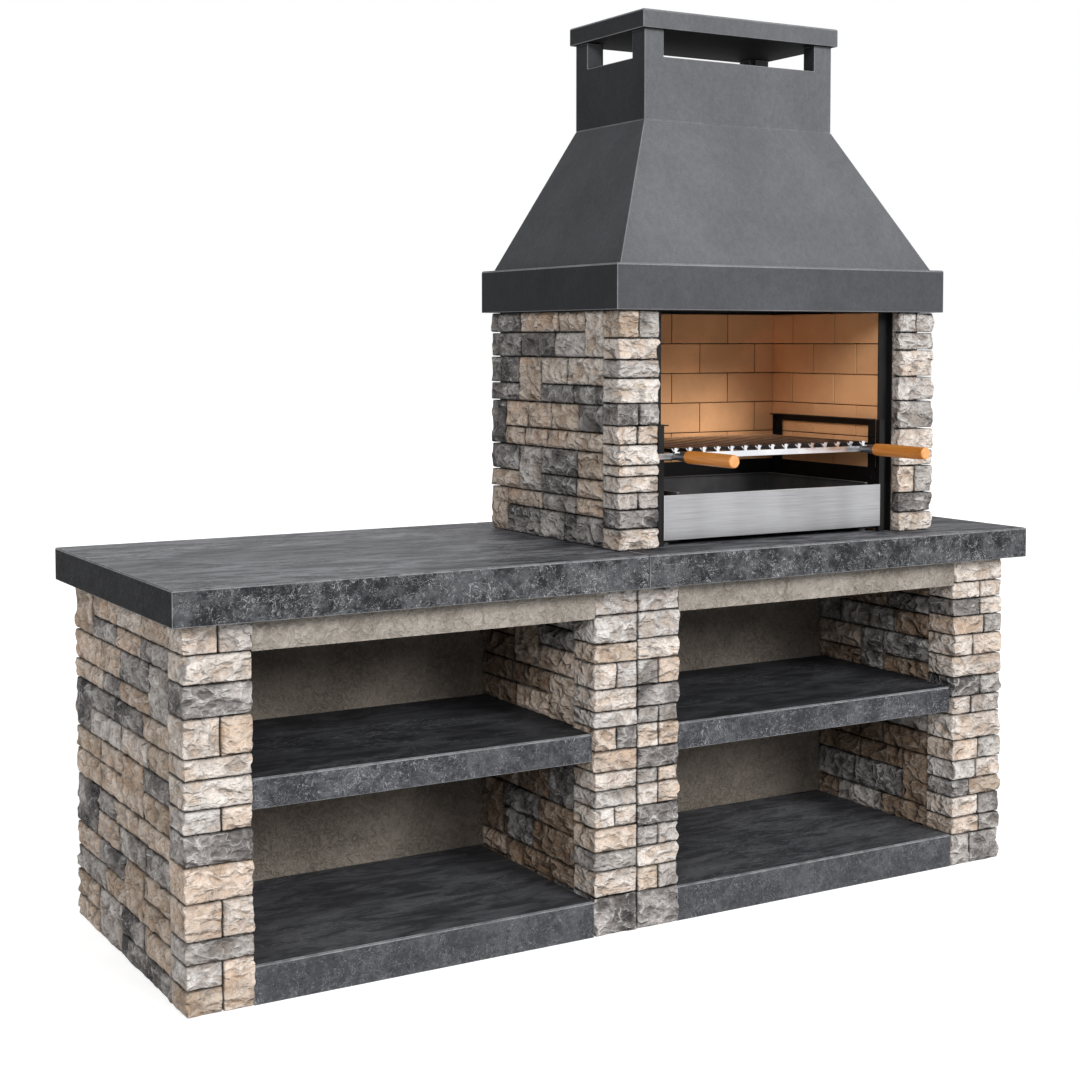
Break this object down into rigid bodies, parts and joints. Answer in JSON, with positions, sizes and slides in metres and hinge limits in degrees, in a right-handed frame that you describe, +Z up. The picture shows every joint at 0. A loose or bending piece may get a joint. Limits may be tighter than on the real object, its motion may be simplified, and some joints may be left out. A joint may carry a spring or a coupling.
{
  "type": "outdoor masonry barbecue",
  "caption": "Stone-faced outdoor barbecue: base with open bays, shelves and worktop, brick-lined firebox with sliding grill and ember drawer, and a tapered hood.",
  "frame": {"origin": "on the ground, on the joint between the two base modules, halfway between the fronts of the pillars and the backs of the base walls", "axes": "+X along the worktop to the right seen from the front, +Y from front to back, +Z up"},
  "size_m": [2.361, 0.983, 2.219],
  "materials": {
    "facing_stone": "split face",
    "concrete": "fair-faced",
    "dark_slab": "honed",
    "firebrick": "matte",
    "hood_casting": "fine grain",
    "black_steel": "matte",
    "brushed_steel": "brushed along its length",
    "grill_steel": "bright",
    "bare_steel": "plated",
    "grip_wood": "varnished"
  },
  "bodies": {
    "barbecue": {"wall_core_left_outer": "concrete", "wall_core_left_inner": "concrete", "wall_core_right_inner": "concrete", "wall_core_right_outer": "concrete", "head_stones_left_outer": "facing_stone", "head_stones_left_inner": "facing_stone", "head_stones_right_inner": "facing_stone", "head_stones_right_outer": "facing_stone", "end_stones_left": "facing_stone", "end_stones_right": "facing_stone", "bay_stones_left_outer": "facing_stone", "bay_stones_left_inner": "facing_stone", "bay_stones_right_inner": "facing_stone", "bay_stones_right_outer": "facing_stone", "base_slab_left": "dark_slab", "base_slab_right": "dark_slab", "shelf_left": "dark_slab", "shelf_right": "dark_slab", "back_panel_left": "concrete", "back_panel_right": "concrete", "lintel_left": "concrete", "lintel_right": "concrete", "worktop_left": "dark_slab", "worktop_right": "dark_slab", "fire_core_left": "concrete", "fire_core_right": "concrete", "fire_core_back": "concrete", "fire_head_stones_left": "facing_stone", "fire_head_stones_right": "facing_stone", "fire_side_stones_left": "facing_stone", "fire_side_stones_right": "facing_stone", "firebricks_left": "firebrick", "firebricks_right": "firebrick", "firebricks_back": "firebrick", "hood_skirt": "hood_casting", "hood_cone": "hood_casting", "chimney_block": "hood_casting", "chimney_cap": "hood_casting", "jamb_angle_left": "black_steel", "jamb_angle_right": "black_steel", "front_post_left": "black_steel", "front_post_right": "black_steel", "side_plate_left": "black_steel", "side_plate_right": "black_steel", "back_plate": "black_steel", "insert_feet": "bare_steel", "runner_left": "black_steel", "runner_right": "black_steel", "rack_left": "black_steel", "rack_right": "black_steel", "rack_bolts": "bare_steel"},
    "ember_drawer": {"ember_tray": "black_steel", "drawer_front": "brushed_steel", "drawer_studs": "bare_steel"},
    "grill": {"grill_bars": "grill_steel", "grill_channels": "grill_steel", "handle_rods": "grill_steel", "handle_ferrules": "grill_steel", "grip_left": "grip_wood", "grip_right": "grip_wood"}
  },
  "joints": [
    {"name": "drawer_slide", "type": "slide", "parent": "barbecue", "child": "ember_drawer", "axis": [0, -1, 0], "range_m": [0, 0.35]},
    {"name": "grill_slide", "type": "slide", "parent": "barbecue", "child": "grill", "axis": [0, -1, 0], "range_m": [0, 0.35]}
  ]
}
